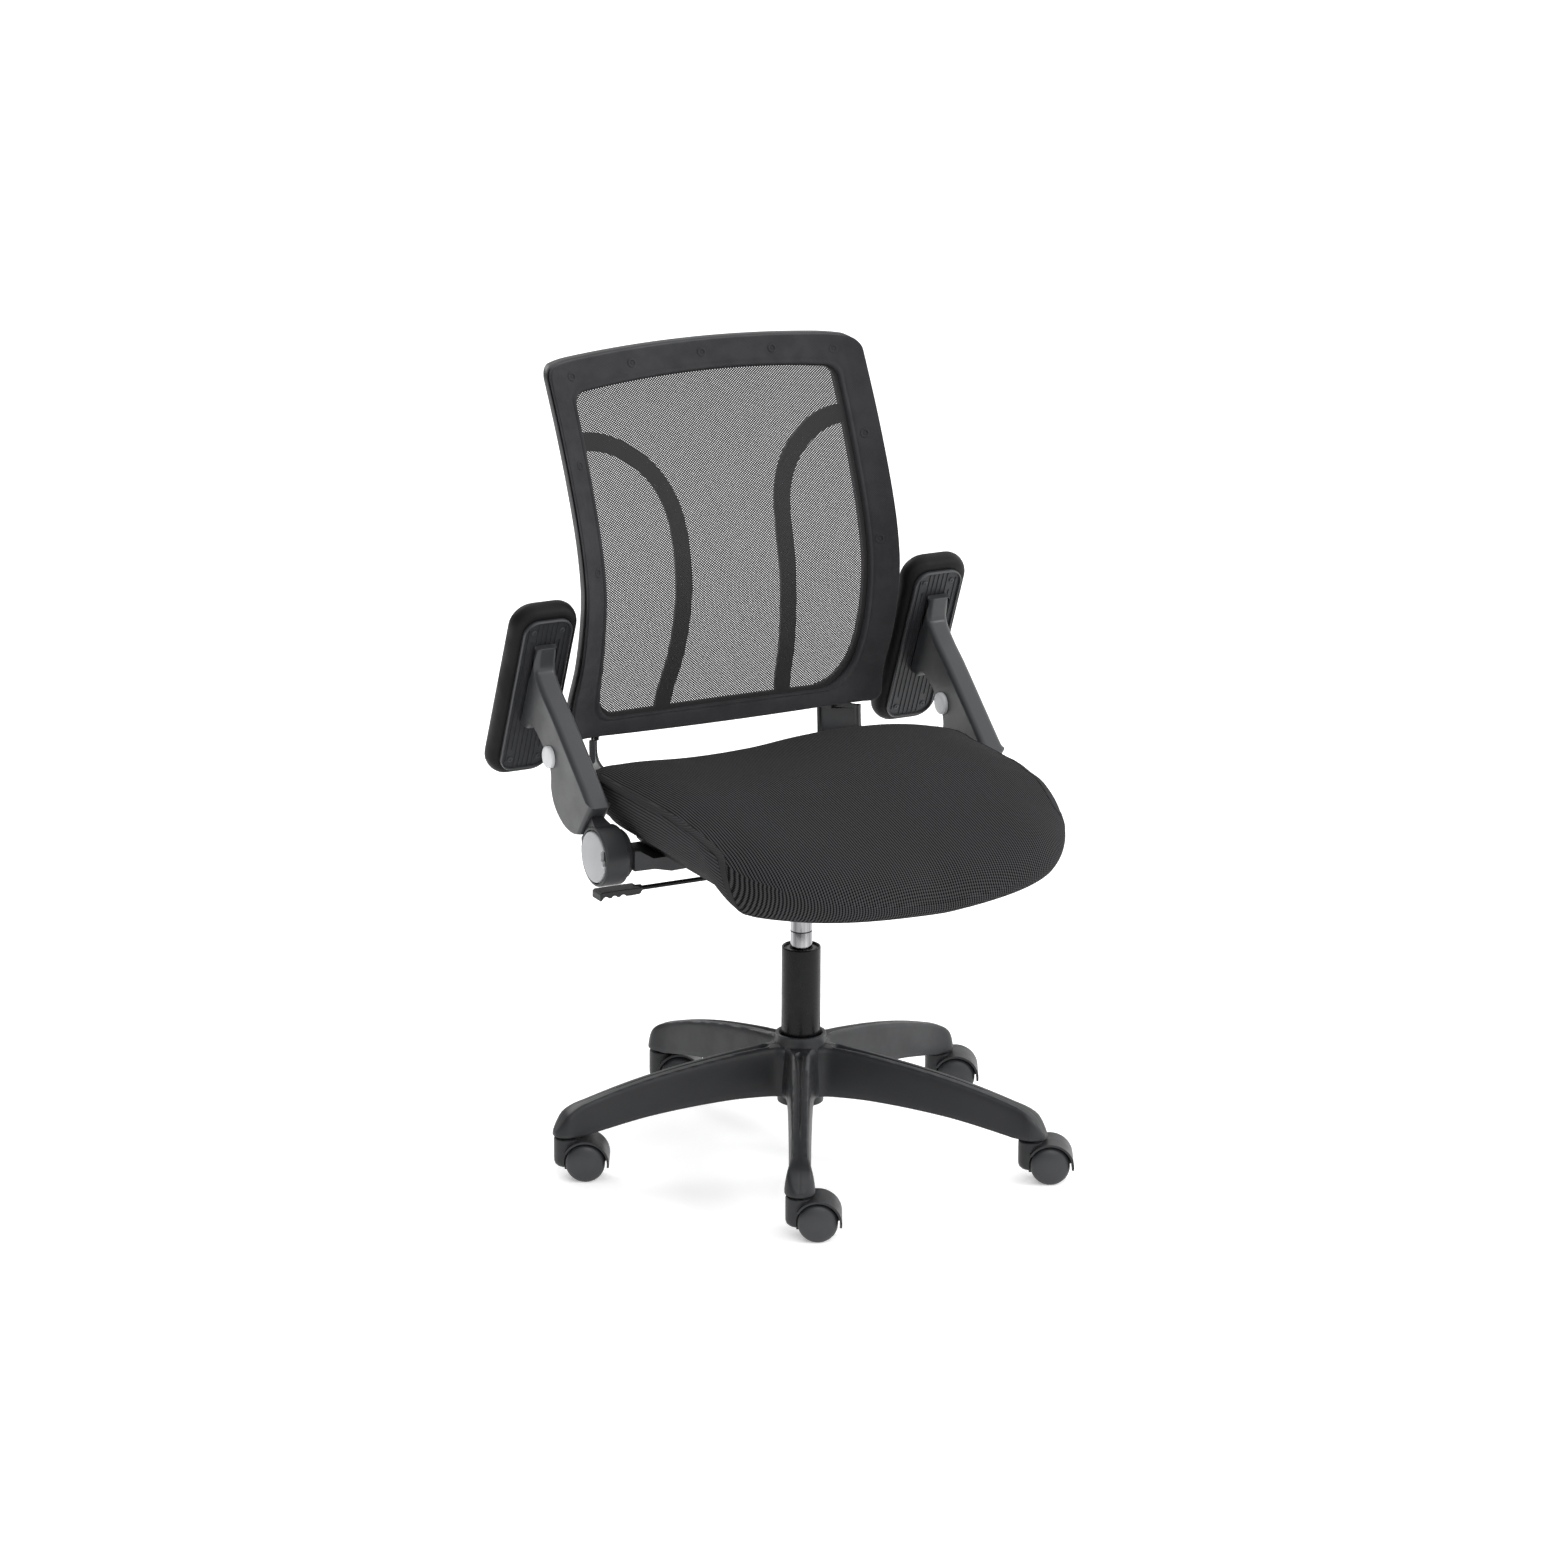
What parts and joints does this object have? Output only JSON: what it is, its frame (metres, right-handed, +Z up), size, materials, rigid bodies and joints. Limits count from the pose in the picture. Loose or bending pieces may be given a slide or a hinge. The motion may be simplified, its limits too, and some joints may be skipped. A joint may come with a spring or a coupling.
{
  "type": "swivel office chair",
  "caption": "Swivel office chair with a mesh back on curved ribs, flip-up height-adjustable arms, a padded seat, a gas lift and a star base on twin-wheel casters.",
  "frame": {"origin": "on the floor, below the centre of the box round the whole chair at rest", "axes": "+Z up, -Y towards the front of the seat, +X towards the sitter's left"},
  "size_m": [0.6601, 0.7234, 1.007],
  "materials": {
    "nylon": "moulded, fine matt grain",
    "wheel": "moulded, matt",
    "black_steel": "satin black powder coat",
    "bush": "turned plastic",
    "zinc": "zinc plated",
    "chrome": "polished",
    "plywood": "painted black",
    "seat_fabric": "ribbed mesh fabric over foam",
    "frame_fabric": "fine fabric wrapped over a plastic frame",
    "back_plastic": "moulded, fine matt grain",
    "mesh": "open knitted mesh",
    "arm_plastic": "moulded, satin",
    "silver": "silver painted",
    "pad": "soft self-skinned foam"
  },
  "bodies": {
    "base": {"star_base": "nylon", "lift_outer_tube": "black_steel", "lift_guide_bush": "bush", "caster_stem_1": "zinc", "caster_stem_2": "zinc", "caster_stem_3": "zinc", "caster_stem_4": "zinc", "caster_stem_5": "zinc"},
    "caster_1": {"caster_hood_1": "nylon", "caster_axle_1": "zinc"},
    "wheel_1a": {"caster_wheel_1a": "wheel"},
    "wheel_1b": {"caster_wheel_1b": "wheel"},
    "caster_2": {"caster_hood_2": "nylon", "caster_axle_2": "zinc"},
    "wheel_2a": {"caster_wheel_2a": "wheel"},
    "wheel_2b": {"caster_wheel_2b": "wheel"},
    "caster_3": {"caster_hood_3": "nylon", "caster_axle_3": "zinc"},
    "wheel_3a": {"caster_wheel_3a": "wheel"},
    "wheel_3b": {"caster_wheel_3b": "wheel"},
    "caster_4": {"caster_hood_4": "nylon", "caster_axle_4": "zinc"},
    "wheel_4a": {"caster_wheel_4a": "wheel"},
    "wheel_4b": {"caster_wheel_4b": "wheel"},
    "caster_5": {"caster_hood_5": "nylon", "caster_axle_5": "zinc"},
    "wheel_5a": {"caster_wheel_5a": "wheel"},
    "wheel_5b": {"caster_wheel_5b": "wheel"},
    "piston": {"piston_rod": "chrome", "thrust_bearing": "zinc"},
    "mechanism": {"gas_cylinder": "chrome", "mechanism_housing": "black_steel", "tilt_axle": "zinc"},
    "lever": {"lever_rod": "black_steel", "lever_handle": "nylon"},
    "valve": {"release_button": "zinc"},
    "knob": {"tension_knob": "nylon"},
    "seat": {"seat_plate": "black_steel", "seat_board": "plywood", "seat_cushion": "seat_fabric", "mesh_frame": "frame_fabric", "back_shell": "back_plastic", "back_mesh": "mesh", "upright_left": "back_plastic", "upright_right": "back_plastic", "arm_bracket_left": "nylon", "arm_bracket_right": "nylon"},
    "arm_left": {"arm_post_left": "nylon", "hub_cap_left": "silver"},
    "sleeve_left": {"arm_sleeve_left": "arm_plastic", "pad_plate_left": "nylon", "arm_pad_left": "pad"},
    "button_left": {"height_button_left": "silver"},
    "arm_right": {"arm_post_right": "nylon", "hub_cap_right": "silver"},
    "sleeve_right": {"arm_sleeve_right": "arm_plastic", "pad_plate_right": "nylon", "arm_pad_right": "pad"},
    "button_right": {"height_button_right": "silver"}
  },
  "joints": [
    {"name": "caster_swivel_1", "type": "hinge", "parent": "base", "child": "caster_1", "pos_m": [-0.14961, -0.24174, 0.05], "axis": [0, 0, 1], "continuous": true},
    {"name": "wheel_spin_1a", "type": "hinge", "parent": "caster_1", "child": "wheel_1a", "pos_m": [-0.12971, -0.25223, 0.025], "axis": [0.4664, 0.8846, 0], "continuous": true},
    {"name": "wheel_spin_1b", "type": "hinge", "parent": "caster_1", "child": "wheel_1b", "pos_m": [-0.12971, -0.25223, 0.025], "axis": [0.4664, 0.8846, 0], "continuous": true},
    {"name": "caster_swivel_2", "type": "hinge", "parent": "base", "child": "caster_2", "pos_m": [0.20992, -0.18993, 0.05], "axis": [0, 0, 1], "continuous": true},
    {"name": "wheel_spin_2a", "type": "hinge", "parent": "caster_2", "child": "wheel_2a", "pos_m": [0.22983, -0.20042, 0.025], "axis": [0.4664, 0.8846, 0], "continuous": true},
    {"name": "wheel_spin_2b", "type": "hinge", "parent": "caster_2", "child": "wheel_2b", "pos_m": [0.22983, -0.20042, 0.025], "axis": [0.4664, 0.8846, 0], "continuous": true},
    {"name": "caster_swivel_3", "type": "hinge", "parent": "base", "child": "caster_3", "pos_m": [0.27175, 0.16803, 0.05], "axis": [0, 0, 1], "continuous": true},
    {"name": "wheel_spin_3a", "type": "hinge", "parent": "caster_3", "child": "wheel_3a", "pos_m": [0.29166, 0.15753, 0.025], "axis": [0.4664, 0.8846, 0], "continuous": true},
    {"name": "wheel_spin_3b", "type": "hinge", "parent": "caster_3", "child": "wheel_3b", "pos_m": [0.29166, 0.15753, 0.025], "axis": [0.4664, 0.8846, 0], "continuous": true},
    {"name": "caster_swivel_4", "type": "hinge", "parent": "base", "child": "caster_4", "pos_m": [-0.04957, 0.33744, 0.05], "axis": [0, 0, 1], "continuous": true},
    {"name": "wheel_spin_4a", "type": "hinge", "parent": "caster_4", "child": "wheel_4a", "pos_m": [-0.02967, 0.32695, 0.025], "axis": [0.4664, 0.8846, 0], "continuous": true},
    {"name": "wheel_spin_4b", "type": "hinge", "parent": "caster_4", "child": "wheel_4b", "pos_m": [-0.02967, 0.32695, 0.025], "axis": [0.4664, 0.8846, 0], "continuous": true},
    {"name": "caster_swivel_5", "type": "hinge", "parent": "base", "child": "caster_5", "pos_m": [-0.30999, 0.0842, 0.05], "axis": [0, 0, 1], "continuous": true},
    {"name": "wheel_spin_5a", "type": "hinge", "parent": "caster_5", "child": "wheel_5a", "pos_m": [-0.29009, 0.0737, 0.025], "axis": [0.4664, 0.8846, 0], "continuous": true},
    {"name": "wheel_spin_5b", "type": "hinge", "parent": "caster_5", "child": "wheel_5b", "pos_m": [-0.29009, 0.0737, 0.025], "axis": [0.4664, 0.8846, 0], "continuous": true},
    {"name": "seat_swivel", "type": "hinge", "parent": "base", "child": "piston", "pos_m": [-0.0055, 0.0316, 0.08], "axis": [0, 0, 1], "continuous": true},
    {"name": "seat_height", "type": "slide", "parent": "piston", "child": "mechanism", "axis": [0, 0, 1], "range_m": [-0.078, 0.012]},
    {"name": "height_lever", "type": "hinge", "parent": "mechanism", "child": "lever", "pos_m": [-0.05, 0.0716, 0.3735], "axis": [0, 1, 0], "range_deg": [0, 5.4], "stiffness_Nm_per_rad": 0.8},
    {"name": "valve_press", "type": "slide", "parent": "mechanism", "child": "valve", "axis": [0, 0, 1], "range_m": [-0.0042, 0], "stiffness_N_per_m": 300},
    {"name": "tension_turn", "type": "hinge", "parent": "mechanism", "child": "knob", "pos_m": [-0.0055, -0.0264, 0.355], "axis": [0, 0, 1], "range_deg": [0, 720]},
    {"name": "seat_tilt", "type": "hinge", "parent": "mechanism", "child": "seat", "pos_m": [-0.0055, 0.0016, 0.412], "axis": [-1, 0, 0], "range_deg": [0, 12], "stiffness_Nm_per_rad": 60, "springref_deg": -22.92},
    {"name": "arm_flip_left", "type": "hinge", "parent": "seat", "child": "arm_left", "pos_m": [0.2755, 0.0266, 0.438], "axis": [1, 0, 0], "range_deg": [0, 68]},
    {"name": "arm_height_left", "type": "slide", "parent": "arm_left", "child": "sleeve_left", "axis": [0, 0.7547, 0.6561], "range_m": [0, 0.05]},
    {"name": "button_press_left", "type": "slide", "parent": "sleeve_left", "child": "button_left", "axis": [-1, 0, 0], "range_m": [0, 0.0025], "stiffness_N_per_m": 300},
    {"name": "arm_flip_right", "type": "hinge", "parent": "seat", "child": "arm_right", "pos_m": [-0.2865, 0.0266, 0.438], "axis": [1, 0, 0], "range_deg": [0, 68]},
    {"name": "arm_height_right", "type": "slide", "parent": "arm_right", "child": "sleeve_right", "axis": [0, 0.7547, 0.6561], "range_m": [0, 0.05]},
    {"name": "button_press_right", "type": "slide", "parent": "sleeve_right", "child": "button_right", "axis": [1, 0, 0], "range_m": [0, 0.0025], "stiffness_N_per_m": 300}
  ],
  "couplings": [
    {"joint": "valve_press", "follows": "height_lever", "m_per_rad": -0.043}
  ]
}
